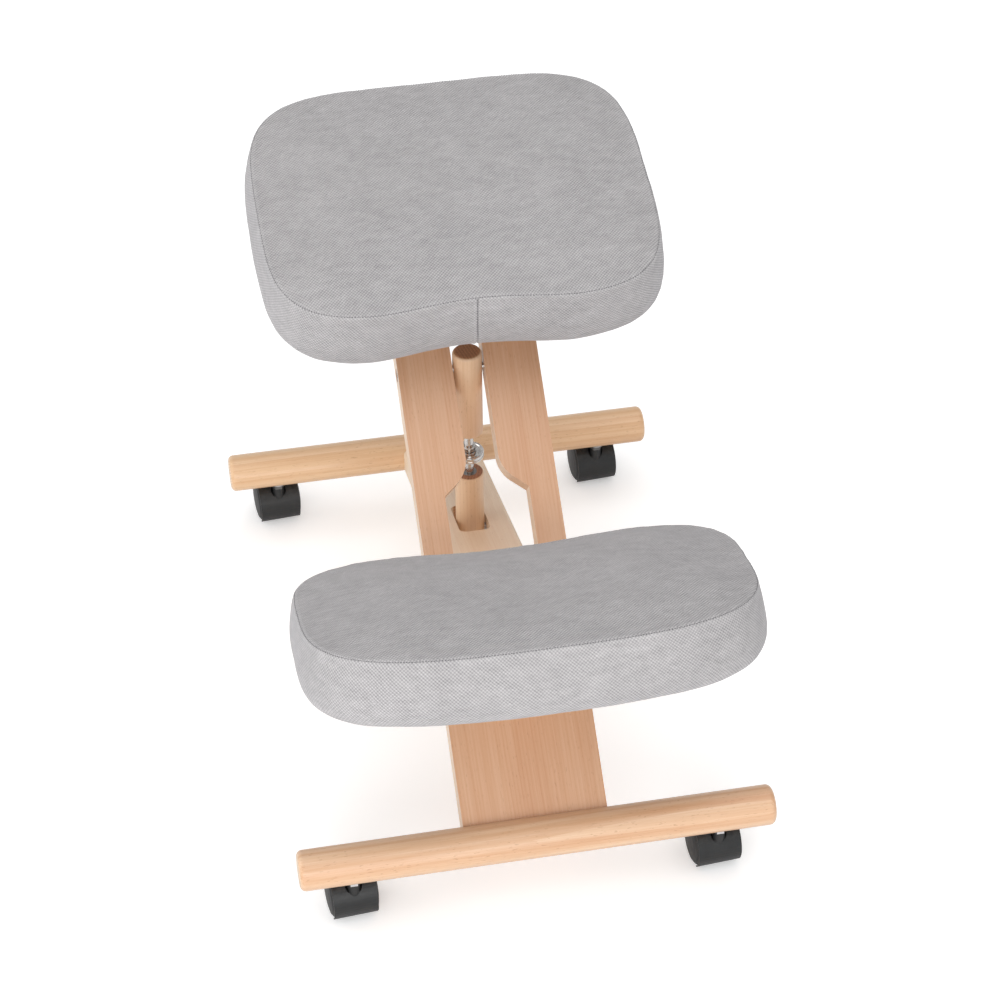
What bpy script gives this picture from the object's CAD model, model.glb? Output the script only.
import math
import bpy
import bmesh
import numpy as np
from mathutils import Matrix, Vector, Quaternion


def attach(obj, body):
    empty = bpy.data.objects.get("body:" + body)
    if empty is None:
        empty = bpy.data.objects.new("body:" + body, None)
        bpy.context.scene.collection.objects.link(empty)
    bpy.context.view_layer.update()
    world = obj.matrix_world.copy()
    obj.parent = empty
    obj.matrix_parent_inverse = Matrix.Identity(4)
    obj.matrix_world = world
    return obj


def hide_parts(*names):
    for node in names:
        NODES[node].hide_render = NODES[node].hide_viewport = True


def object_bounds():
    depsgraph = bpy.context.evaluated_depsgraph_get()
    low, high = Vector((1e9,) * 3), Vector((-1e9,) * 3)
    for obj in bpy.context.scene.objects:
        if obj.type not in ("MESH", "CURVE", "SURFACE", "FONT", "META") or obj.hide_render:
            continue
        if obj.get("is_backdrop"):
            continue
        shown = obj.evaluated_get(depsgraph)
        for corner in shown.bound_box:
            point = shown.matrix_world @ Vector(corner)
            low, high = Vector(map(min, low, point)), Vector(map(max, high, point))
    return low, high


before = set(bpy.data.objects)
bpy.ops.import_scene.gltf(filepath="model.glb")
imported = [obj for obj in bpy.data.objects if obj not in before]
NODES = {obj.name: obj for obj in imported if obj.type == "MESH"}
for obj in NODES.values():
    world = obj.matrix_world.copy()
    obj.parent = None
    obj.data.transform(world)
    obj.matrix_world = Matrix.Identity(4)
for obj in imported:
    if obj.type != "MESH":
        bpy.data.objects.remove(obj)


def plain(b):
    try:
        return [[float(x) for x in c] for c in b]
    except TypeError:
        return [float(x) for x in b]


CAD_BOX = plain(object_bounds())
MM = 0.001
D2R = math.pi / 180
FORK_RISE, BEAM_RISE, SEAT_TILT, STRUT_TILT = 37.7, 19.8, 11.5, 2.6005


# ------------------------------------------------------------------ materials
class Mat:
    """Small helper that builds a node tree: m("Type", {input: value or socket}, prop=value)."""

    def __init__(self, name):
        self.mat = bpy.data.materials.new(name)
        self.mat.use_nodes = True
        self.t = self.mat.node_tree
        self.t.nodes.clear()
        self.out = self.t.nodes.new("ShaderNodeOutputMaterial")
        self.bsdf = self.t.nodes.new("ShaderNodeBsdfPrincipled")
        self.t.links.new(self.bsdf.outputs[0], self.out.inputs[0])

    def __call__(self, kind, ins=None, **props):
        n = self.t.nodes.new("ShaderNode" + kind)
        for k, v in props.items():
            setattr(n, k, v)
        for k, v in (ins or {}).items():
            self.put(n.inputs[k], v)
        return n

    def put(self, sock, v):
        if isinstance(v, bpy.types.NodeSocket):
            self.t.links.new(v, sock)
        elif isinstance(v, bpy.types.Node):
            self.t.links.new(v.outputs[0], sock)
        else:
            if sock.type == "RGBA" and len(v) == 3:
                v = (*v, 1.0)
            sock.default_value = v

    def math(self, op, a, b=0.0, c=0.0, clamp=False):
        n = self.t.nodes.new("ShaderNodeMath")
        n.operation = op
        n.use_clamp = clamp
        self.put(n.inputs[0], a)
        self.put(n.inputs[1], b)
        if op in ("MULTIPLY_ADD", "SMOOTH_MIN", "SMOOTH_MAX", "COMPARE"):
            self.put(n.inputs[2], c)
        return n.outputs[0]

    def ramp(self, v, lo, hi, a=0.0, b=1.0):
        n = self.t.nodes.new("ShaderNodeMapRange")
        n.interpolation_type = "SMOOTHSTEP"
        self.put(n.inputs[0], v)
        for i, x in enumerate((lo, hi, a, b)):
            self.put(n.inputs[i + 1], x)
        return n.outputs[0]

    def mix(self, fac, a, b, blend="MIX"):
        n = self.t.nodes.new("ShaderNodeMix")
        n.data_type = "RGBA"
        n.blend_type = blend
        self.put(n.inputs[0], fac)
        self.put(n.inputs[6], a)
        self.put(n.inputs[7], b)
        return n.outputs[2]

    def scale(self, v, s):
        n = self.t.nodes.new("ShaderNodeVectorMath")
        n.operation = "MULTIPLY"
        self.put(n.inputs[0], v)
        self.put(n.inputs[1], s)
        return n.outputs[0]

    def noise(self, v, scale=1.0, detail=2.0, rough=0.5, dist=0.0):
        n = self("TexNoise", {"Vector": v, "Scale": scale, "Detail": detail, "Roughness": rough, "Distortion": dist})
        return n.outputs["Fac"] if "Fac" in n.outputs else n.outputs[0]

    def surface(self, **ins):
        for k, v in ins.items():
            self.put(self.bsdf.inputs[k.replace("_", " ")], v)

    def bump(self, h, dist, strength=1.0, prev=None):
        ins = {"Height": h, "Distance": dist, "Strength": strength}
        n = self("Bump", ins)
        if prev is not None:
            self.put(n.inputs["Normal"], prev)
        return n.outputs[0]


def lin(r, g, b):
    return tuple(((c / 255 + 0.055) / 1.055) ** 2.4 if c > 10 else c / 255 / 12.92 for c in (r, g, b))


def wood(name, light, dark, end, tilt=0.0, along="Y", pith=(0.02, -0.09), ring=0.0052, ring_amt=0.35,
         streak=0.45, fleck=0.5, seed=0.0, rough=0.36, coat=0.25, bold=0.5, side=None, gloss=0.28):
    m = Mat(name)
    co = m("TexCoord").outputs["Object"]
    if tilt:
        co = m("VectorRotate", {"Vector": co, "Angle": tilt * D2R}, rotation_type="X_AXIS").outputs[0]
    s = m("SeparateXYZ", {0: co})
    order = {"X": (1, 0, 2), "Y": (0, 1, 2), "Z": (0, 2, 1)}[along]
    p = m("CombineXYZ", {0: s.outputs[order[0]], 1: s.outputs[order[1]], 2: s.outputs[order[2]]}).outputs[0]
    p = m("VectorMath", {0: p, 1: (seed, seed * 1.7, seed * 0.6)}, operation="ADD").outputs[0]
    # slow wander of the grain
    wander = m("TexNoise", {"Vector": m.scale(p, (7, 2.2, 7)), "Scale": 1.0, "Detail": 1.0}).outputs[1]
    wob = m("VectorMath", {0: wander, 1: (0.5, 0.5, 0.5)}, operation="SUBTRACT").outputs[0]
    pw = m("VectorMath", {0: m.scale(wob, (0.010, 0.0, 0.010)), 1: p}, operation="ADD").outputs[0]
    # growth rings around a pith line that lies beside the board
    q = m("VectorMath", {0: pw, 1: (pith[0] + seed, 0, pith[1] + seed * 0.6)}, operation="SUBTRACT").outputs[0]
    rings = m("TexWave", {"Vector": m.scale(q, (1, 0.02, 1)), "Scale": 0.314 / ring, "Distortion": 2.6, "Detail": 2.0,
                          "Detail Scale": 0.35}, wave_type="RINGS", rings_direction="Y", wave_profile="SAW")
    rings = m.ramp(rings.outputs["Fac"], 0.25, 1.0)
    wide = m.noise(m.scale(pw, (34, 1.6, 34)), 1.0, 2.0, 0.55)
    mid = m.noise(m.scale(pw, (210, 4.2, 210)), 1.0, 2.0, 0.6)
    fine = m.noise(m.scale(pw, (780, 11, 780)), 1.0, 2.0, 0.65)
    hair = m.noise(m.scale(p, (2600, 55, 2600)), 1.0, 1.0, 0.5)
    fac = m.math("MULTIPLY_ADD", m.math("SUBTRACT", wide, 0.5), bold, 0.42)
    fac = m.math("MULTIPLY_ADD", m.math("SUBTRACT", mid, 0.5), 1.25 * streak / 0.45, fac)
    fac = m.math("MULTIPLY_ADD", m.math("SUBTRACT", fine, 0.5), 1.0 * streak / 0.45, fac)
    fac = m.math("MULTIPLY_ADD", m.math("SUBTRACT", rings, 0.45), ring_amt, fac)
    fac = m.math("MULTIPLY_ADD", m.math("SUBTRACT", hair, 0.5), 0.3, fac)
    col = m.mix(m.math("MAXIMUM", m.math("MINIMUM", fac, 1.0), 0.0), light, dark)
    # rays: short dark dashes along the grain
    dash = m.noise(m.scale(p, (950, 150, 950)), 1.0, 1.0, 0.5, 0.2)
    dash = m.ramp(dash, 0.655, 0.72)
    dense = m.ramp(m.noise(m.scale(p, (30, 8, 30)), 1.0, 1.0), 0.35, 0.65, 0.35, 1.0)
    dash = m.math("MULTIPLY", m.math("MULTIPLY", dash, dense), fleck)
    deep = m.mix(1.0, dark, (0.62, 0.52, 0.46), "MULTIPLY")
    col = m.mix(dash, col, deep)
    # a few pin knots
    vor = m("TexVoronoi", {"Vector": m.scale(p, (14, 6.5, 14)), "Scale": 1.0, "Randomness": 1.0})
    knot = m.ramp(vor.outputs["Distance"], 0.018, 0.05, 0.75, 0.0)
    col = m.mix(m.math("MULTIPLY", knot, fleck), col, (0.26, 0.12, 0.05))
    # end grain
    nrm = m("TexCoord").outputs["Normal"]
    if tilt:
        nrm = m("VectorRotate", {"Vector": nrm, "Angle": tilt * D2R}, rotation_type="X_AXIS").outputs[0]
    ns = m("SeparateXYZ", {0: nrm})
    if side is not None:
        sf = m.ramp(m.math("ABSOLUTE", ns.outputs[0]), 0.35, 0.9, 0.0, 0.8)
        col = m.mix(sf, col, m.mix(m.math("MULTIPLY", fine, 0.5), side, light))
    g = m.math("ABSOLUTE", ns.outputs[{"X": 0, "Y": 1, "Z": 2}[along]])
    endf = m.ramp(g, 0.72, 0.93)
    pores = m.noise(m.scale(p, (900, 900, 900)), 1.0, 2.0, 0.7)
    arcs = m("TexWave", {"Vector": m.scale(q, (1, 0.0, 1)), "Scale": 0.314 / 0.0032, "Distortion": 1.0, "Detail": 1.0},
             wave_type="RINGS", rings_direction="Y")
    ev = m.math("ADD", m.math("MULTIPLY", pores, 0.85), m.math("MULTIPLY", arcs.outputs["Fac"], 0.18))
    ecol = m.mix(m.ramp(ev, 0.25, 0.85), m.mix(1.0, end, (0.7, 0.66, 0.62), "MULTIPLY"), m.mix(1.0, end, (1.22, 1.2, 1.18), "MULTIPLY"))
    col = m.mix(endf, col, ecol)
    rgh = m.math("MULTIPLY_ADD", m.math("SUBTRACT", fine, 0.5), 0.22, rough)
    h = m.math("MULTIPLY_ADD", fine, 0.6, m.math("MULTIPLY", hair, 0.5))
    h = m.math("SUBTRACT", h, m.math("MULTIPLY", dash, 0.5))
    m.surface(Base_Color=col, Roughness=rgh, Coat_Weight=coat, Coat_Roughness=gloss, Specular_IOR_Level=0.4,
              Normal=m.bump(h, 0.00012, 0.7))
    return m.mat


def fabric(name, light, dark):
    """Twill: diagonal ribs in the UV plane, in metres, with crossing yarns, heather and brushed patches."""
    m = Mat(name)
    uv = m("UVMap", uv_map="weave").outputs[0]
    # slight wander so the ribs aren't ruled
    wn = m("TexNoise", {"Vector": m.scale(uv, (55, 55, 55)), "Scale": 1.0, "Detail": 2.0}).outputs[1]
    wn = m("VectorMath", {0: wn, 1: (0.5, 0.5, 0.5)}, operation="SUBTRACT").outputs[0]
    uvw = m("VectorMath", {0: m.scale(wn, (0.0011, 0.0011, 0.0)), 1: uv}, operation="ADD").outputs[0]
    s = m("SeparateXYZ", {0: uvw})
    u, v = s.outputs[0], s.outputs[1]
    period = 0.0024
    ph = m.math("MULTIPLY", m.math("SUBTRACT", u, v), 0.7071 * 2 * math.pi / period)
    rib = m.math("MULTIPLY_ADD", m.math("SINE", ph), 0.5, 0.5)
    rib = m.math("POWER", rib, 0.8)
    # yarns cross the ribs on the other diagonal and break them into small lozenges
    cr = m.math("MULTIPLY", m.math("ADD", u, v), 0.7071 * 2 * math.pi / 0.0025)
    yarn = m.math("MULTIPLY_ADD", m.math("SINE", cr), 0.5, 0.5)
    fuzz = m.noise(m.scale(uvw, (2600, 2600, 2600)), 1.0, 2.0, 0.7)
    heather = m.noise(m.scale(uvw, (420, 420, 420)), 1.0, 3.0, 0.7)
    slub = m.noise(m.scale(m("VectorRotate", {"Vector": uvw, "Angle": math.pi / 4}, rotation_type="Z_AXIS").outputs[0], (900, 90, 1)), 1.0, 2.0, 0.6)
    patch = m.noise(m.scale(uvw, (17, 26, 17)), 1.0, 4.0, 0.62)
    drift = m.noise(m.scale(uvw, (60, 130, 60)), 1.0, 3.0, 0.6)
    f = m.math("MULTIPLY", rib, 0.34)
    f = m.math("MULTIPLY_ADD", yarn, 0.22, f)
    f = m.math("MULTIPLY_ADD", m.math("MULTIPLY", rib, yarn), 0.14, f)
    f = m.math("MULTIPLY_ADD", m.math("SUBTRACT", fuzz, 0.5), 0.35, f)
    f = m.math("MULTIPLY_ADD", m.math("SUBTRACT", heather, 0.5), 0.42, f)
    f = m.math("MULTIPLY_ADD", m.math("SUBTRACT", slub, 0.5), 0.5, f)
    f = m.math("MULTIPLY_ADD", m.math("SUBTRACT", patch, 0.5), 0.36, f)
    f = m.math("MULTIPLY_ADD", m.math("SUBTRACT", drift, 0.5), 0.44, f)
    f = m.math("ADD", f, 0.16)
    f = m.math("MAXIMUM", m.math("MINIMUM", f, 1.0), 0.0)
    col = m.mix(f, dark, light)
    # the seam: a dark line in the fold, a rubbed light lip beside it
    sd = m("Attribute", attribute_name="seam_mm").outputs["Fac"]
    ad = m.math("ABSOLUTE", sd)
    col = m.mix(m.ramp(ad, 0.2, 1.1, 0.2, 0.0), col, (0.16, 0.16, 0.165))
    lip = m.math("MULTIPLY", m.ramp(ad, 1.0, 2.2), m.ramp(ad, 2.6, 5.0, 1.0, 0.0))
    col = m.mix(m.math("MULTIPLY", lip, 0.06), col, (0.7, 0.7, 0.7))
    # the nap lies the other way on the top panels and drinks more light there
    col = m.mix(m.ramp(sd, 0.0, 1.5, 0.0, 0.4), col, m.mix(1.0, col, (0.72, 0.72, 0.72), "MULTIPLY"))
    h = m.math("MULTIPLY_ADD", rib, 1.0, m.math("MULTIPLY", yarn, 0.7))
    h = m.math("MULTIPLY_ADD", fuzz, 0.35, h)
    nb = m.bump(h, 0.00028, 0.8)
    m.surface(Base_Color=col, Roughness=0.93, Specular_IOR_Level=0.18, Sheen_Weight=0.22, Sheen_Roughness=0.45,
              Sheen_Tint=(0.95, 0.95, 1.0), Normal=nb)
    return m.mat


def cloth_black(name):
    m = Mat(name)
    co = m("TexCoord").outputs["Object"]
    n1 = m.noise(m.scale(co, (1500, 1500, 1500)), 1.0, 3.0, 0.7)
    vo = m("TexVoronoi", {"Vector": m.scale(co, (420, 420, 420)), "Scale": 1.0})
    dots = m.ramp(vo.outputs["Distance"], 0.15, 0.4)
    f = m.math("MULTIPLY_ADD", n1, 0.6, m.math("MULTIPLY", dots, 0.35))
    col = m.mix(f, (0.012, 0.012, 0.013), (0.05, 0.05, 0.052))
    m.surface(Base_Color=col, Roughness=0.9, Specular_IOR_Level=0.25, Sheen_Weight=0.15, Normal=m.bump(f, 0.0003, 0.8))
    return m.mat


def metal(name, base, rough, scratch=(60, 900, 900), amt=0.12, rings=0.0, stain=0.0):
    m = Mat(name)
    co = m("TexCoord").outputs["Object"]
    sc = m.noise(m.scale(co, scratch), 1.0, 3.0, 0.65)
    blot = m.noise(m.scale(co, (160, 160, 160)), 1.0, 3.0, 0.6)
    col = m.mix(m.ramp(sc, 0.3, 0.75), m.mix(1.0, base, (0.82, 0.82, 0.83), "MULTIPLY"), base)
    col = m.mix(m.math("MULTIPLY", m.ramp(blot, 0.45, 0.75), stain), col, (0.2, 0.17, 0.14))
    r = m.math("MULTIPLY_ADD", m.math("SUBTRACT", sc, 0.5), amt * 2, rough)
    r = m.math("MULTIPLY_ADD", m.math("SUBTRACT", blot, 0.5), amt, r)
    m.surface(Base_Color=col, Metallic=1.0, Roughness=m.math("MAXIMUM", r, 0.05), Normal=m.bump(sc, 0.00003, 0.6))
    return m.mat


def thread_metal(name, base, rough, tilt, pitch=0.002):
    """Screw thread drawn as fine turns along the strut axis."""
    m = Mat(name)
    co = m("TexCoord").outputs["Object"]
    co = m("VectorRotate", {"Vector": co, "Angle": tilt * D2R}, rotation_type="X_AXIS").outputs[0]
    s = m("SeparateXYZ", {0: co})
    w = m.math("SINE", m.math("MULTIPLY", s.outputs[2], 2 * math.pi / pitch))
    sc = m.noise(m.scale(co, (500, 500, 1400)), 1.0, 3.0, 0.65)
    col = m.mix(m.ramp(w, -0.9, 0.1), m.mix(1.0, base, (0.72, 0.71, 0.7), "MULTIPLY"), base)
    r = m.math("MULTIPLY_ADD", sc, 0.12, rough)
    m.surface(Base_Color=col, Metallic=1.0, Roughness=r, Normal=m.bump(m.math("MULTIPLY_ADD", w, 0.5, m.math("MULTIPLY", sc, 0.1)), 0.00008, 0.5))
    return m.mat


def plastic(name, base, rough, grain=2200, scuff=0.0, moulded=0.5):
    m = Mat(name)
    co = m("TexCoord").outputs["Object"]
    g = m.noise(m.scale(co, (grain,) * 3), 1.0, 2.0, 0.6)
    big = m.noise(m.scale(co, (90, 90, 90)), 1.0, 3.0, 0.6)
    lines = m.noise(m.scale(co, (1500, 260, 260)), 1.0, 2.0, 0.7)
    col = m.mix(m.ramp(big, 0.3, 0.75), m.mix(1.0, base, (0.8, 0.8, 0.8), "MULTIPLY"), m.mix(1.0, base, (1.3, 1.3, 1.3), "MULTIPLY"))
    col = m.mix(m.math("MULTIPLY", m.ramp(lines, 0.6, 0.78), scuff), col, (0.2, 0.2, 0.2))
    geo = m("NewGeometry").outputs["Normal"]
    up = m("SeparateXYZ", {0: geo}).outputs[2]
    dust = m.math("MULTIPLY", m.ramp(up, 0.3, 1.0), m.ramp(m.noise(m.scale(co, (260, 260, 260)), 1.0, 3.0, 0.7), 0.3, 0.8))
    col = m.mix(m.math("MULTIPLY", dust, 0.06 + scuff * 0.1), col, (0.45, 0.44, 0.42))
    r = m.math("MULTIPLY_ADD", m.math("SUBTRACT", big, 0.5), 0.2, rough)
    m.surface(Base_Color=col, Roughness=r, Specular_IOR_Level=0.5, Normal=m.bump(g, 0.00006, moulded))
    return m.mat


def ply(name, tilt):
    m = Mat(name)
    co = m("TexCoord").outputs["Object"]
    co = m("VectorRotate", {"Vector": co, "Angle": tilt * D2R}, rotation_type="X_AXIS").outputs[0]
    s = m("SeparateXYZ", {0: co})
    lay = m.math("SINE", m.math("MULTIPLY", s.outputs[2], 2 * math.pi / 0.003))
    f1 = m.noise(m.scale(co, (500, 18, 500)), 1.0, 3.0, 0.6)
    f2 = m.noise(m.scale(co, (30, 4, 30)), 1.0, 2.0)
    f = m.math("MULTIPLY_ADD", m.math("SUBTRACT", f1, 0.5), 0.9, m.math("MULTIPLY_ADD", m.math("SUBTRACT", f2, 0.5), 0.8, 0.5))
    col = m.mix(m.math("MAXIMUM", m.math("MINIMUM", f, 1.0), 0.0), lin(222, 190, 146), lin(186, 146, 104))
    col = m.mix(m.ramp(lay, -0.2, 0.2, 0.0, 0.3), col, lin(150, 106, 70))
    m.surface(Base_Color=col, Roughness=0.7, Normal=m.bump(f1, 0.0002, 0.6))
    return m.mat


MATS = {
    "board": wood("wood_fork_board", lin(222, 181, 148), lin(202, 144, 105), lin(204, 162, 126), tilt=-FORK_RISE, along="Y",
                  pith=(0.62, -0.12), ring=0.0033, ring_amt=0.16, streak=0.24, fleck=0.3, seed=0.31, rough=0.42, coat=0.12, bold=0.5,
                  side=lin(250, 234, 214)),
    "bar_f": wood("wood_front_bar", lin(236, 203, 170), lin(201, 143, 99), lin(234, 200, 164), along="X", pith=(0.03, -0.2),
                  ring=0.0082, ring_amt=0.2, streak=0.2, fleck=0.4, seed=0.77, rough=0.34, coat=0.45, bold=0.95, gloss=0.17),
    "bar_r": wood("wood_rear_bar", lin(236, 201, 162), lin(207, 154, 108), lin(234, 198, 160), along="X", pith=(-0.02, -0.26),
                  ring=0.0066, ring_amt=0.18, streak=0.2, fleck=0.4, seed=1.63, rough=0.34, coat=0.45, bold=0.9, gloss=0.15),
    "beam": wood("wood_knee_beam", lin(250, 228, 202), lin(228, 192, 158), lin(206, 160, 124), tilt=BEAM_RISE, along="Y",
                 pith=(0.06, -0.17), ring=0.0085, ring_amt=0.2, streak=0.2, fleck=0.3, seed=2.4, rough=0.42, coat=0.15, bold=0.7,
                 side=lin(246, 226, 200)),
    "strut_u": wood("wood_upper_strut", lin(236, 204, 172), lin(206, 162, 124), lin(190, 140, 106), tilt=STRUT_TILT, along="Z",
                    pith=(0.24, 0.13), ring=0.004, ring_amt=0.1, streak=0.16, fleck=0.42, seed=3.1, rough=0.45, coat=0.12, bold=0.35),
    "strut_l": wood("wood_lower_strut", lin(242, 210, 176), lin(214, 170, 130), lin(170, 116, 84), tilt=STRUT_TILT, along="Z",
                    pith=(-0.23, 0.14), ring=0.004, ring_amt=0.12, streak=0.18, fleck=0.42, seed=3.9, rough=0.45, coat=0.12, bold=0.35),
    "pins": wood("wood_pins", lin(232, 200, 160), lin(206, 164, 118), lin(196, 150, 110), along="Y", seed=4.7, rough=0.6, coat=0.0),
    "cleat": wood("wood_cleats", lin(234, 202, 164), lin(206, 162, 120), lin(196, 150, 110), along="Y", seed=5.2, rough=0.55, coat=0.05),
    "ply_seat": ply("plywood_seat", -SEAT_TILT),
    "ply_knee": ply("plywood_knee", BEAM_RISE),
    "fabric": fabric("twill_grey", lin(203, 200, 201), lin(134, 132, 133)),
    "dust": cloth_black("nonwoven_black"),
    "steel": metal("zinc_steel", (0.62, 0.61, 0.6), 0.28, amt=0.1, stain=0.1),
    "bright": metal("polished_steel", (0.74, 0.71, 0.68), 0.17, scratch=(300, 300, 2200), amt=0.05, stain=0.05),
    "thread": thread_metal("spindle_thread", (0.72, 0.7, 0.68), 0.14, STRUT_TILT),
    "dark": metal("dark_steel", (0.3, 0.29, 0.28), 0.3, amt=0.1, stain=0.3),
    "nylon": plastic("nylon_white", (0.8, 0.8, 0.77), 0.5, moulded=0.2),
    "stem": metal("stem_zinc", (0.86, 0.86, 0.87), 0.2, scratch=(900, 900, 80), amt=0.08),
    "stem_dull": metal("stem_tarnished", (0.2, 0.2, 0.2), 0.42, scratch=(900, 900, 80), amt=0.1, stain=0.2),
    "hood": plastic("caster_hood_plastic", (0.011, 0.012, 0.013), 0.42, scuff=0.05),
    "wheel": plastic("caster_wheel_plastic", (0.013, 0.0135, 0.0145), 0.48, grain=1400, scuff=0.2),
    "thread_dark": plastic("stitch_thread", (0.10, 0.10, 0.105), 0.85, grain=3000, moulded=1.0),
}


def assign(name, key):
    me = NODES[name].data
    me.materials.clear()
    me.materials.append(MATS[key])


LOOK = {
    "board": ["fork_board"], "bar_f": ["front_bar"], "bar_r": ["rear_bar"], "beam": ["knee_beam"],
    "strut_u": ["upper_strut"], "strut_l": ["lower_strut"], "pins": ["fork_dowel_pins", "beam_dowel_pins"],
    "cleat": ["seat_cleats"], "ply_seat": ["seat_board"], "ply_knee": ["knee_board"],
    "fabric": ["seat_cushion", "knee_cushion"], "dust": ["seat_dust_cover", "knee_dust_cover"],
    "steel": ["fork_screws", "beam_screws", "seat_bolts", "seat_tee_nuts", "knee_bolts", "knee_tee_nuts", "pivot_bolt",
              "pivot_nut", "upper_bolt", "upper_nut", "lower_pin", "lower_pin_caps", "front_sockets", "rear_sockets"],
    "bright": ["hand_wheel", "adjuster_collar"], "thread": ["spindle"], "dark": ["upper_insert", "lower_insert"],
    "nylon": ["pivot_washers"],
}
for c in ("fl", "fr", "rl", "rr"):
    LOOK.setdefault("stem" if c[0] == "f" else "stem_dull", []).append(c + "_stem")
    LOOK.setdefault("hood", []).append(c + "_housing")
    LOOK["steel"].append(c + "_axle")
    LOOK.setdefault("wheel", []).extend([c + "_wheel_left", c + "_wheel_right"])
for key, names in LOOK.items():
    for n in names:
        assign(n, key)


def ease(node, width, angle=32, segs=3):
    """Small rounding on a CAD node's hard edges, as modifiers; its mesh isn't touched."""
    o = NODES[node]
    w = o.modifiers.new("weld", "WELD")
    w.merge_threshold = 0.00002
    b = o.modifiers.new("ease", "BEVEL")
    b.width = width
    b.segments = segs
    b.limit_method = "ANGLE"
    b.angle_limit = angle * D2R
    b.miter_outer = "MITER_ARC"
    b.harden_normals = False
    wn = o.modifiers.new("normals", "WEIGHTED_NORMAL")
    wn.keep_sharp = False
    wn.weight = 60


# -------------------------------------------------------------------- cushions
def sp(v, e):
    return math.copysign(abs(v) ** e, v)


def hump(u, w):
    return (1 - (u / w) ** 2) ** 2 if abs(u) < w else 0.0


def seat_pt(a, d):
    e = 2 / (3.6 if math.sin(a) < 0 else 3.9)
    u, v = sp(math.cos(a), e), sp(math.sin(a), e)
    if v < 0:
        y = v * (142 + 18 + d) + 17 * (1 - u * u) * -v + 8 * hump(u, 0.55) * -v
    else:
        y = v * (161 + 8 + d) - 8 * (1 - u * u) * v
    return u * (198 + d), y


def knee_pt(a, d):
    e = 2 / (3.1 if math.sin(a) < 0 else 4.0)
    u, v = sp(math.cos(a), e), sp(math.sin(a), e)
    y = v * (137.7 + d) if v < 0 else v * (95 + 16 + d) - 16 * hump(u, 0.75) * v
    return u * (217 + d), y


def catmull(pts, n_per):
    P = np.array(pts, float)
    out = []
    for i in range(len(P) - 1):
        p0, p1, p2, p3 = P[max(i - 1, 0)], P[i], P[i + 1], P[min(i + 2, len(P) - 1)]
        for k in range(n_per):
            t = k / n_per
            out.append(0.5 * ((2 * p1) + (-p0 + p2) * t + (2 * p0 - 5 * p1 + 4 * p2 - p3) * t * t + (-p0 + 3 * p1 - 3 * p2 + p3) * t ** 3))
    out.append(P[-1])
    return np.array(out)


def smooth_noise(x, seed, octaves=3):
    """Repeatable 1-D noise on [-1, 1], x in periods."""
    out = np.zeros_like(x)
    amp, tot = 1.0, 0.0
    rng = np.random.RandomState(seed)
    for o in range(octaves):
        tab = rng.uniform(-1, 1, 4096)
        i = np.floor(x).astype(int)
        f = x - i
        f = f * f * (3 - 2 * f)
        out += amp * (tab[i % 4096] * (1 - f) + tab[(i + 1) % 4096] * f)
        tot += amp
        amp *= 0.5
        x = x * 2.03 + 17.3
    return out / tot


def noise3(p, scale, seed):
    """Repeatable smooth 3-D noise from summed plane waves; p in mm, scale is the wavelength."""
    rng = np.random.RandomState(seed)
    out = np.zeros(len(p))
    for _ in range(22):
        d = rng.normal(size=3)
        d /= np.linalg.norm(d)
        out += np.sin(p @ d * (2 * math.pi / (scale * rng.uniform(0.7, 1.5))) + rng.uniform(0, 6.28))
    return out / 4.7


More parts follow.
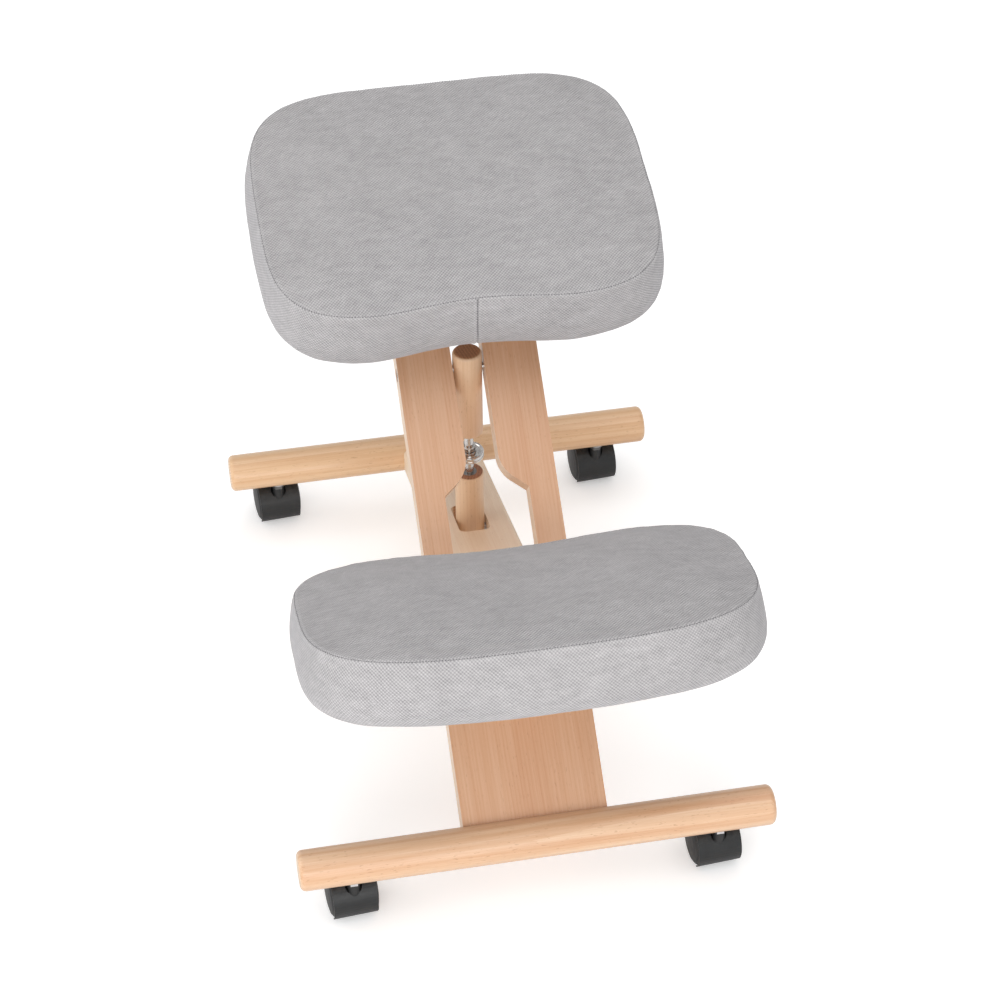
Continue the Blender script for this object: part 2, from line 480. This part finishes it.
def build_cushion(name, pt, h, crown, mat4, body, node, seam_a, press, top_gain, band_gain, seed):
    n = 62
    N = 4 * n
    # columns: equal arc steps on each quarter, closer together beside the band's closing seam
    ang = []
    for q in range(4):
        a0 = math.radians(-45 + 90 * q)
        fine = np.linspace(a0, a0 + math.pi / 2, 1600)
        P = np.array([pt(a, 0) for a in fine])
        s = np.concatenate([[0], np.cumsum(np.linalg.norm(np.diff(P, axis=0), axis=1))])
        sm = 0.5 * (s[1:] + s[:-1])
        dens = np.ones(len(sm))
        for sa in seam_a:
            k = sa - math.degrees(a0)
            k = (k + 180) % 360 - 180
            if 0 < k < 90:
                s0 = np.interp(math.radians(k), fine - a0, s)
                dens += 3.0 * np.exp(-((sm - s0) / 9.0) ** 2)
        cum = np.concatenate([[0], np.cumsum(dens * np.diff(s))])
        ang += list(np.interp(np.linspace(0, cum[-1], n + 1)[:-1], cum, fine))
    ang = np.array(ang)
    seam = np.array([pt(a, 0) for a in ang])
    arc = np.concatenate([[0], np.cumsum(np.linalg.norm(np.diff(np.vstack([seam, seam[:1]]), axis=0), axis=1))])
    total = arc[-1]
    verts, sd, uvtop, ca = [], [], [], []

    # band profile, from the seam down and under to the mouth of the pocket
    prof = catmull([(h, 0), (h - 9, 2.4), (h * 0.66, 5.0), (h * 0.4, 7.0), (14, 5.9), (6.4, 2.3), (2.0, -3.2), (0.35, -10.5)], 40)
    pl = np.concatenate([[0], np.cumsum(np.linalg.norm(np.diff(prof, axis=0), axis=1))])
    want = [0.9, 2.0, 3.4, 5.6] + list(np.linspace(5.6, pl[-1], 17)[1:])
    rings = [(0.0, (h, 0.0))] + [(w, (np.interp(w, pl, prof[:, 0]), np.interp(w, pl, prof[:, 1]))) for w in want]
    rings += [(pl[-1] + 7, (0.3, -17.5)), (pl[-1] + 15, (0.3, -25.8)), (pl[-1] + 21, (6.5, -26)), (pl[-1] + 29, (14.2, -26.4))]
    K = len(rings)
    for dist, (z, d) in rings:
        for a in ang:
            x, y = pt(a, d)
            verts.append((x, y, z))
            sd.append(-dist)
            ca.append(a)
    faces, fuv = [], []
    for k in range(K - 1):
        for i in range(N):
            j = (i + 1) % N
            faces.append((k * N + i, (k + 1) * N + i, (k + 1) * N + j, k * N + j))
            u0, u1 = arc[i], arc[i + 1]
            fuv.append(((u0, rings[k][0]), (u0, rings[k + 1][0]), (u1, rings[k + 1][0]), (u1, rings[k][0])))

    # square core used for the top panel and for the pocket's ceiling
    def core(ring_idx, height, n_rings, first, inset):
        """Rings from an outer loop in to a square grid. Returns nothing; adds to verts and faces."""
        base = np.array([verts[ring_idx + i] for i in range(N)])
        w0, l0 = inset * np.abs(seam[:, 0]).max(), inset * (seam[:, 1].max() - seam[:, 1].min()) / 2
        cy = (seam[:, 1].max() + seam[:, 1].min()) / 2
        sq = []
        for q, (sx, sy, ex, ey) in enumerate([(1, -1, 1, 1), (1, 1, -1, 1), (-1, 1, -1, -1), (-1, -1, 1, -1)]):
            cs = base[q * n:(q + 1) * n + 1] if q < 3 else np.vstack([base[q * n:], base[:1]])
            ss = np.concatenate([[0], np.cumsum(np.linalg.norm(np.diff(cs[:, :2], axis=0), axis=1))])
            ss /= ss[-1]
            for k in range(n):
                t = ss[k]
                sq.append((w0 * (sx + (ex - sx) * t), cy + l0 * (sy + (ey - sy) * t)))
        sq = np.array(sq)
        L = np.linalg.norm(sq - base[:, :2], axis=1)
        loops = [[ring_idx + i for i in range(N)]]
        for r in range(n_rings):
            row = []
            for i in range(N):
                near = first[r] if r < len(first) else None
                if near is None:
                    f0 = first[-1] if first else 0.0
                    dist = f0 + (L[i] - f0) * (r - len(first) + 1) / (n_rings - len(first))
                else:
                    dist = near
                p = base[i, :2] + (sq[i] - base[i, :2]) * dist / L[i]
                row.append(len(verts))
                verts.append((p[0], p[1], height(p, i)))
                ca.append(ang[i])
            loops.append(row)
        last = loops[-1]
        grid = -np.ones((n + 1, n + 1), int)
        for k in range(n + 1):
            grid[n, k] = last[(0 * n + k) % N]          # right side, going up
            grid[n - k, n] = last[(1 * n + k) % N]      # rear side, going left
            grid[0, n - k] = last[(2 * n + k) % N]      # left side, going down
            grid[k, 0] = last[(3 * n + k) % N]          # front side, going right
        for i in range(1, n):
            for j in range(1, n):
                # transfinite blend of the four borders
                s, t = i / n, j / n
                g = lambda a, b: np.array(verts[grid[a, b]][:2])
                p = (1 - s) * g(0, j) + s * g(n, j) + (1 - t) * g(i, 0) + t * g(i, n) \
                    - (1 - s) * (1 - t) * g(0, 0) - s * (1 - t) * g(n, 0) - (1 - s) * t * g(0, n) - s * t * g(n, n)
                grid[i, j] = len(verts)
                verts.append((p[0], p[1], height(p, None)))
                ca.append(math.atan2(p[1], p[0]))
        return loops, grid

    S2 = seam

    def edge_dist(p):
        return float(np.sqrt(((S2 - p) ** 2).sum(1)).min())

    def top_h(p, i):
        return h + crown * 0.5 * (1 - math.exp(-edge_dist(p) / 21.0))

    t0 = len(verts)
    first = [0.9, 2.0, 3.4, 5.6, 9.0]
    loops, grid = core(0, top_h, 15, first, 0.60)
    for v in verts[t0:]:
        sd.append(edge_dist(np.array(v[:2])))
    top_start = len(faces)
    for r in range(len(loops) - 1):
        for i in range(N):
            j = (i + 1) % N
            faces.append((loops[r][i], loops[r][j], loops[r + 1][j], loops[r + 1][i]))
    for i in range(n):
        for j in range(n):
            faces.append((grid[i, j], grid[i + 1, j], grid[i + 1, j + 1], grid[i, j + 1]))
    for f in faces[top_start:]:
        fuv.append(tuple((verts[v][0], verts[v][1]) for v in f))
    t1 = len(verts)
    loops2, grid2 = core((K - 1) * N, lambda p, i: 14.2, 6, [], 0.5)
    for v in verts[t1:]:
        sd.append(-200.0)
    bot_start = len(faces)
    for r in range(len(loops2) - 1):
        for i in range(N):
            j = (i + 1) % N
            faces.append((loops2[r][j], loops2[r][i], loops2[r + 1][i], loops2[r + 1][j]))
    for i in range(n):
        for j in range(n):
            faces.append((grid2[i, j], grid2[i, j + 1], grid2[i + 1, j + 1], grid2[i + 1, j]))
    for f in faces[bot_start:]:
        fuv.append(tuple((verts[v][0], verts[v][1]) for v in f))

    V = np.array(verts, float)
    sd = np.array(sd)
    ca = np.array(ca)
    me = bpy.data.meshes.new(name)
    me.from_pydata([tuple(v * MM) for v in V], [], [tuple(int(x) for x in f) for f in faces])
    ob = bpy.data.objects.new(name, me)
    bpy.context.scene.collection.objects.link(ob)

    # how freely each point may move: held at the seam and below the board's edge
    hold = np.exp(-(sd / 5.0) ** 2)
    hold[(sd < -(pl[-1] - 10))] = 1.0
    hold = np.clip(hold, 0, 1)
    sim = V.copy()
    grp = ob.vertex_groups.new(name="hold")
    for i, w in enumerate(hold):
        if w > 0.01:
            grp.add([i], float(w), "REPLACE")
    cm = ob.modifiers.new("cloth", "CLOTH")
    cs = cm.settings
    cs.quality = 7
    cs.mass = 0.25
    cs.tension_stiffness = 14
    cs.compression_stiffness = 14
    cs.shear_stiffness = 7
    cs.bending_stiffness = 1.2
    cs.use_pressure = True
    cs.uniform_pressure_force = press
    cs.vertex_group_mass = "hold"
    cs.effector_weights.gravity = 0.0
    cm.collision_settings.use_collision = False
    cm.collision_settings.use_self_collision = False
    cm.point_cache.frame_start = 1
    cm.point_cache.frame_end = 24
    sc = bpy.context.scene
    for f in range(1, 21):
        sc.frame_set(f)
    dg = bpy.context.evaluated_depsgraph_get()
    ev = ob.evaluated_get(dg).to_mesh()
    co = np.zeros(len(ev.vertices) * 3, np.float32)
    ev.vertices.foreach_get("co", co)
    sim = co.reshape(-1, 3).astype(float) / MM
    ob.evaluated_get(dg).to_mesh_clear()
    ob.modifiers.clear()
    sc.frame_set(1)
    if not np.isfinite(sim).all():
        sim = V.copy()
    mv = sim - V
    top = sd > 0
    band = (sd <= 0) & (sd > -(pl[-1] - 6))
    rest = ~(top | band)
    mv[rest] = 0
    peak = np.percentile(np.linalg.norm(mv[top], axis=1), 99.5) if top.any() else 0
    peak_b = np.percentile(np.linalg.norm(mv[band], axis=1), 99.5) if band.any() else 0
    print("cloth", name, "peak top %.2f mm, band %.2f mm" % (peak, peak_b))
    if peak > 0.5:
        mv[top] *= top_gain / peak
        mv[band] *= band_gain / max(peak_b, 0.3)
    else:
        # no simulation: the same swelling by formula
        f = 1 - np.exp(-np.abs(sd) / 26.0)
        mv[top] = 0
        mv[top, 2] = top_gain * f[top]
        nrm = np.stack([np.cos(ca), np.sin(ca), 0 * ca], 1)
        mv[band] = nrm[band] * (band_gain * np.sin(np.clip(-sd[band] / pl[-1], 0, 1) * math.pi))[:, None]
    V2 = V + mv
    me.vertices.foreach_set("co", (V2 * MM).astype(np.float32).ravel())
    uvl = me.uv_layers.new(name="weave")
    flat = np.array([c for f in fuv for c in f], float) * MM
    uvl.data.foreach_set("uv", flat.astype(np.float32).ravel())
    for nm, arr in (("seam_mm", sd), ("a_cos", np.cos(ca)), ("a_sin", np.sin(ca))):
        at = me.attributes.new(nm, "FLOAT", "POINT")
        at.data.foreach_set("value", arr.astype(np.float32))
    ss = ob.modifiers.new("sub", "SUBSURF")
    ss.levels = ss.render_levels = 2
    ss.uv_smooth = "NONE"
    dg = bpy.context.evaluated_depsgraph_get()
    fin = bpy.data.meshes.new_from_object(ob.evaluated_get(dg), depsgraph=dg)
    ob.modifiers.clear()
    ob.data = fin
    bpy.data.meshes.remove(me)
    me = fin

    # seams, puckers and the lie of the cloth go on after the swelling
    nv = len(me.vertices)
    co = np.zeros(nv * 3, np.float32)
    me.vertices.foreach_get("co", co)
    co = co.reshape(-1, 3).astype(float) / MM
    nr = np.zeros(nv * 3, np.float32)
    me.vertices.foreach_get("normal", nr)
    nr = nr.reshape(-1, 3).astype(float)

    def get(nm):
        a = np.zeros(nv, np.float32)
        me.attributes[nm].data.foreach_get("value", a)
        return a.astype(float)

    sdv = get("seam_mm")
    av = np.arctan2(get("a_sin"), get("a_cos")) % (2 * math.pi)
    acum = np.concatenate([ang, [ang[0] + 2 * math.pi]])
    arcv = np.interp((av - ang[0]) % (2 * math.pi) + ang[0], acum, arc)
    ad = np.abs(sdv)
    move = -0.7 * np.exp(-(ad / 0.8) ** 2) + 0.3 * np.exp(-((ad - 2.8) / 1.6) ** 2)
    pk = smooth_noise(arcv / 8.5, seed, 2)
    pk2 = smooth_noise(arcv / 21.0, seed + 5, 2)
    near = np.exp(-ad / 6.5)
    move += 0.42 * pk * near * (ad > 0.3) + 0.35 * pk2 * np.exp(-ad / 15.0)
    live = np.clip((sdv + pl[-1] + 2) / 10.0, 0, 1)
    broad = noise3(co, 88.0, seed + 1)
    med = noise3(co * [1, 1, 1.6], 34.0, seed + 2)
    move += live * (0.55 * broad + 0.13 * med) * np.clip(ad / 8.0, 0, 1)
    # soft slanting folds on the band, stronger round the corners
    corner = np.abs(np.sin(2 * av)) ** 2
    fold = np.sin((arcv * 0.75 + sdv * 1.1) * 2 * math.pi / 17.0 + 2.2 * smooth_noise(arcv / 30.0, seed + 7))
    bandf = np.where(sdv < 0, np.exp(-((ad - 0.45 * pl[-1]) / (0.3 * pl[-1])) ** 2), 0)
    move += 0.26 * fold * bandf * (0.25 + 0.75 * corner) * (0.4 + 0.6 * (pk2 > 0))
    # the band's closing seam
    for sa in seam_a:
        aa = math.radians(sa) % (2 * math.pi)
        s0 = np.interp((aa - ang[0]) % (2 * math.pi) + ang[0], acum, arc)
        du = arcv - s0 - 0.6 * np.sin(sdv / 14.0)
        du = (du + total / 2) % total - total / 2
        on = np.where((sdv < 0.2) & (sdv > -(pl[-1] + 6)), 1.0, 0.0)
        move += on * (-1.0 * np.exp(-(du / 0.8) ** 2) + 0.3 * np.exp(-((np.abs(du) - 2.6) / 1.4) ** 2))
        at = me.attributes["seam_mm"]
        sdv2 = np.where((on > 0) & (np.abs(du) < 5), np.sign(sdv - 1e-6) * np.minimum(ad, np.abs(du)), sdv)
        at.data.foreach_set("value", sdv2.astype(np.float32))
    inside = sdv < -(pl[-1] + 3)
    move[inside] = 0
    co = co + nr * move[:, None]
    co[:, 2] = np.where(co[:, 2] < 0.22, 0.22, co[:, 2])
    me.vertices.foreach_set("co", (co * MM).astype(np.float32).ravel())
    me.update()
    for p in me.polygons:
        p.use_smooth = True
    me.materials.clear()
    me.materials.append(MATS["fabric"])
    ob.matrix_world = Matrix.Identity(4)
    me.transform(mat4)
    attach(ob, body)
    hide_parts(node)

    # stitches: separate short threads laid in the seam
    ring = np.where(np.abs(sdv) < 1e-4)[0]
    ring = ring[np.argsort(av[ring])]
    runs = [(co[ring], nr[ring], True, 1.0)]
    for sa in seam_a:
        aa = math.radians(sa) % (2 * math.pi)
        s0 = np.interp((aa - ang[0]) % (2 * math.pi) + ang[0], acum, arc)
        du = (arcv - s0 - 0.6 * np.sin(sdv / 14.0) + total / 2) % total - total / 2
        pts = []
        for target in np.arange(1.5, pl[-1] * 0.62, 1.0):
            sel = np.where((np.abs(sdv + target) < 1.6) & (np.abs(du) < 1.6))[0]
            if len(sel):
                w = np.exp(-((sdv[sel] + target) / 0.7) ** 2 - (du[sel] / 0.5) ** 2) + 1e-9
                pts.append(((co[sel] * w[:, None]).sum(0) / w.sum(), (nr[sel] * w[:, None]).sum(0) / w.sum()))
        if len(pts) > 3:
            runs.append((np.array([p[0] for p in pts]), np.array([p[1] for p in pts]), False, 1.0))
    sv, sf = [], []
    rng = np.random.RandomState(seed + 30)
    for pts, nrs, closed, _ in runs:
        if closed:
            pts = np.vstack([pts, pts[:1]])
            nrs = np.vstack([nrs, nrs[:1]])
        cl = np.concatenate([[0], np.cumsum(np.linalg.norm(np.diff(pts, axis=0), axis=1))])
        count = int(cl[-1] / 2.5)
        for k in range(count):
            c = (k + 0.5) * cl[-1] / count
            P = np.array([np.interp(c, cl, pts[:, j]) for j in range(3)])
            A = np.array([np.interp(c - 0.8, cl, pts[:, j]) for j in range(3)])
            B = np.array([np.interp(c + 0.8, cl, pts[:, j]) for j in range(3)])
            nn = np.array([np.interp(c, cl, nrs[:, j]) for j in range(3)])
            t = B - A
            t /= max(np.linalg.norm(t), 1e-6)
            nn = nn - t * (nn @ t)
            nn /= max(np.linalg.norm(nn), 1e-6)
            bt = np.cross(nn, t)
            ctr = P + nn * 0.22
            base = len(sv)
            half = 0.66 * rng.uniform(0.9, 1.08)
            for (x, r) in ((-half, 0.08), (-half * 0.8, 0.24), (-half * 0.35, 0.36), (half * 0.35, 0.36), (half * 0.8, 0.24), (half, 0.08)):
                for g in range(6):
                    th = g * math.pi / 3
                    dip = -0.25 * (x / half) ** 2
                    sv.append(tuple((ctr + t * x + bt * (r * math.cos(th)) + nn * (r * math.sin(th) + dip)) * MM))
            for r in range(5):
                for g in range(6):
                    h2 = (g + 1) % 6
                    sf.append((base + r * 6 + g, base + r * 6 + h2, base + (r + 1) * 6 + h2, base + (r + 1) * 6 + g))
            sf.append(tuple(base + g for g in reversed(range(6))))
            sf.append(tuple(base + 30 + g for g in range(6)))
    sm = bpy.data.meshes.new(name + "_stitches")
    sm.from_pydata(sv, [], sf)
    for p in sm.polygons:
        p.use_smooth = True
    sm.materials.append(MATS["thread_dark"])
    so = bpy.data.objects.new(name + "_stitches", sm)
    bpy.context.scene.collection.objects.link(so)
    sm.transform(mat4)
    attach(so, body)
    return ob


SEAT_M = Matrix.Translation((0, 0.157, 0.538)) @ Matrix.Rotation(SEAT_TILT * D2R, 4, "X") @ Matrix.Translation((0, 0, -0.073))
KNEE_M = Matrix.Translation((0, 0.2772, 0.09955)) @ Matrix.Rotation(-BEAM_RISE * D2R, 4, "X") @ Matrix.Translation((0, -0.5536, 0.00005))
seat = build_cushion("seat_pad", seat_pt, 73.0, 11.0, SEAT_M, "seat_frame", "seat_cushion", [270.0], 4.0, 5.0, 2.0, 11)
knee = build_cushion("knee_pad", knee_pt, 70.0, 13.0, KNEE_M, "knee_frame", "knee_cushion", [90.0], 4.0, 6.5, 2.0, 47)

for node, w in (("fork_board", 0.0013), ("knee_beam", 0.0008), ("seat_cleats", 0.0008)):
    ease(node, w)


# ---------------------------------------------------------------- floor, light
def stage_floor():
    m = Mat("floor_pale")
    co = m("TexCoord").outputs["Object"]
    n = m.noise(m.scale(co, (3, 3, 3)), 1.0, 3.0)
    col = m.mix(n, (0.93, 0.93, 0.93), (0.96, 0.96, 0.96))
    m.surface(Base_Color=col, Roughness=0.8, Specular_IOR_Level=0.1)
    # the sweep reads as paper white to the eye; what it throws back on the chair stays natural
    far = m("VectorMath", {0: co}, operation="LENGTH").outputs["Value"]
    lift = m.ramp(far, 1.2, 4.5, 0.3, 1.0)
    glow = m("Emission", {"Color": (1.0, 1.0, 1.0), "Strength": m.math("MULTIPLY", m("LightPath").outputs["Is Camera Ray"], lift)})
    both = m("AddShader", {0: m.bsdf.outputs[0], 1: glow.outputs[0]})
    m.t.links.new(both.outputs[0], m.out.inputs[0])
    me = bpy.data.meshes.new("floor")
    s = 14.0
    me.from_pydata([(-s, -s, 0), (s, -s, 0), (s, s, 0), (-s, s, 0)], [], [(0, 1, 2, 3)])
    me.materials.append(m.mat)
    o = bpy.data.objects.new("floor", me)
    bpy.context.scene.collection.objects.link(o)
    o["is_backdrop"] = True


stage_floor()


def area(name, loc, aim, size, power, color=(1, 1, 1)):
    li = bpy.data.lights.new(name, "AREA")
    li.shape = "RECTANGLE"
    li.size, li.size_y = size
    li.energy = power
    li.color = color
    o = bpy.data.objects.new(name, li)
    bpy.context.scene.collection.objects.link(o)
    o.location = loc
    o.rotation_euler = (Vector(aim) - Vector(loc)).to_track_quat("-Z", "Y").to_euler()
    return o


area("key_front", (-0.8, -2.8, 1.0), (0, 0, 0.25), (2.6, 1.7), 44)
area("top_soft", (0.2, -0.3, 2.8), (0, 0, 0), (3.0, 3.0), 36)
area("side_left", (-2.4, 0.2, 1.2), (0, 0, 0.3), (1.8, 1.8), 14)
world = bpy.data.worlds.new("studio")
bpy.context.scene.world = world
world.use_nodes = True
wt = world.node_tree
wt.nodes.clear()
wo = wt.nodes.new("ShaderNodeOutputWorld")
b1 = wt.nodes.new("ShaderNodeBackground")
b2 = wt.nodes.new("ShaderNodeBackground")
mx = wt.nodes.new("ShaderNodeMixShader")
lp = wt.nodes.new("ShaderNodeLightPath")
b1.inputs[0].default_value = (1, 1, 1, 1)
b1.inputs[1].default_value = 0.56
b2.inputs[0].default_value = (1, 1, 1, 1)
b2.inputs[1].default_value = 1.0
wt.links.new(lp.outputs["Is Camera Ray"], mx.inputs[0])
wt.links.new(b1.outputs[0], mx.inputs[1])
wt.links.new(b2.outputs[0], mx.inputs[2])
wt.links.new(mx.outputs[0], wo.inputs[0])

bpy.context.scene.view_settings.view_transform = "Standard"
bpy.context.scene.view_settings.look = "None"

cam = bpy.data.cameras.new("camera")
cam.lens = 99.63
cam.sensor_width = 36.0
cam.clip_end = 60
co = bpy.data.objects.new("camera", cam)
bpy.context.scene.collection.objects.link(co)
back = Vector((-0.13583, -0.72765, 0.67236)).normalized()
target = Vector((0.02707, 0.05355, 0.21536))
co.location = target + back * 2.9151
co.rotation_euler = (-back).to_track_quat("-Z", "Y").to_euler()
bpy.context.scene.camera = co

{"cad_box": CAD_BOX, "visual_box": plain(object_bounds())}
